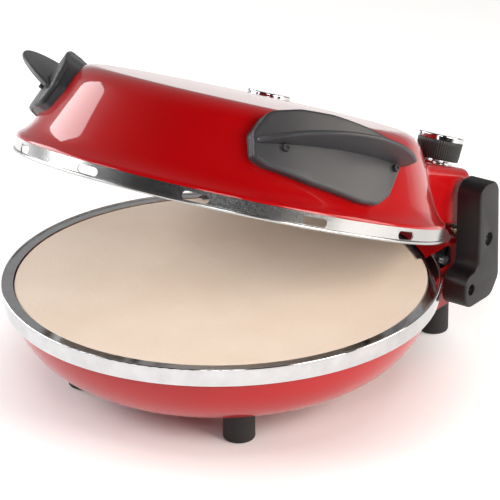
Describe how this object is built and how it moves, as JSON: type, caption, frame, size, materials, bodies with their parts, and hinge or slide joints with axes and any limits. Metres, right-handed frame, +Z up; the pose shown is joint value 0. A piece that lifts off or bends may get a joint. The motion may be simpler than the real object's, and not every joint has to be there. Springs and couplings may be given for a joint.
{
  "type": "countertop pizza oven",
  "caption": "Round countertop pizza oven with a baking stone in a pan and a domed, hinged lid that holds the upper heater, with side handles and control knobs.",
  "frame": {"origin": "on the table under the middle of the bounding box", "axes": "+Z up, +Y towards the hinge at the back, +X to the right seen from the front"},
  "size_m": [0.3292, 0.3544, 0.2551],
  "materials": {
    "red_enamel": "high gloss baked enamel",
    "chrome": "polished",
    "dark_chrome": "dark polished",
    "brushed_steel": "brushed along the band",
    "screw_steel": "zinc plated",
    "stone": "porous fired stone",
    "reflector": "satin",
    "heater_tube": "oxidised dark",
    "ceramic": "glazed white",
    "black_steel": "satin black",
    "arm_plastic": "fine moulded texture",
    "handle_plastic": "satin moulded",
    "knob_plastic": "satin moulded",
    "rubber_black": "matte",
    "bronze": "sintered"
  },
  "bodies": {
    "base": {"base_pan": "red_enamel", "trim_ring": "chrome", "pizza_stone": "stone", "stone_supports": "brushed_steel", "stone_retainer": "dark_chrome", "lower_element": "heater_tube", "lower_reflector": "reflector", "reflector_posts": "screw_steel", "lower_element_clips": "screw_steel", "terminal_block": "ceramic", "hinge_bracket": "red_enamel", "bracket_floor": "black_steel", "ring_end_tabs": "dark_chrome", "ring_tab_screws": "screw_steel", "hinge_arm_right": "arm_plastic", "hinge_arm_left": "arm_plastic", "arm_plates": "brushed_steel", "arm_screws": "screw_steel", "hinge_bolts": "screw_steel", "friction_washers": "screw_steel", "rear_crossbar": "arm_plastic", "cord_gland": "rubber_black", "front_foot_right": "rubber_black", "front_foot_left": "rubber_black", "rear_foot_right": "rubber_black", "rear_foot_left": "rubber_black", "foot_screws": "screw_steel"},
    "lid": {"lid_cover": "red_enamel", "lid_band": "brushed_steel", "lid_liner": "reflector", "upper_element": "heater_tube", "element_hangers": "screw_steel", "hinge_ears": "brushed_steel", "hinge_bushes": "bronze", "handle_right": "handle_plastic", "handle_left": "handle_plastic", "handle_screws": "black_steel", "housing_floor": "black_steel", "thermostat_body": "ceramic", "timer_body": "ceramic", "timer_bell": "bronze", "dial_plates": "chrome", "control_screws": "screw_steel"},
    "thermostat": {"thermostat_knob": "knob_plastic", "thermostat_cap": "chrome", "thermostat_shaft": "screw_steel"},
    "timer": {"timer_knob": "knob_plastic", "timer_cap": "chrome", "timer_shaft": "screw_steel"}
  },
  "joints": [
    {"name": "lid_hinge", "type": "hinge", "parent": "base", "child": "lid", "pos_m": [0, 0.14885, 0.088], "axis": [-1, 0, 0], "range_deg": [-21.65, 48.35]},
    {"name": "thermostat_turn", "type": "hinge", "parent": "lid", "child": "thermostat", "pos_m": [0.0825, 0.1538, 0.14058], "axis": [0, 0.3689, 0.9295], "range_deg": [-270, 0]},
    {"name": "timer_turn", "type": "hinge", "parent": "lid", "child": "timer", "pos_m": [-0.0825, 0.1538, 0.14058], "axis": [0, 0.3689, 0.9295], "range_deg": [-300, 0]}
  ]
}
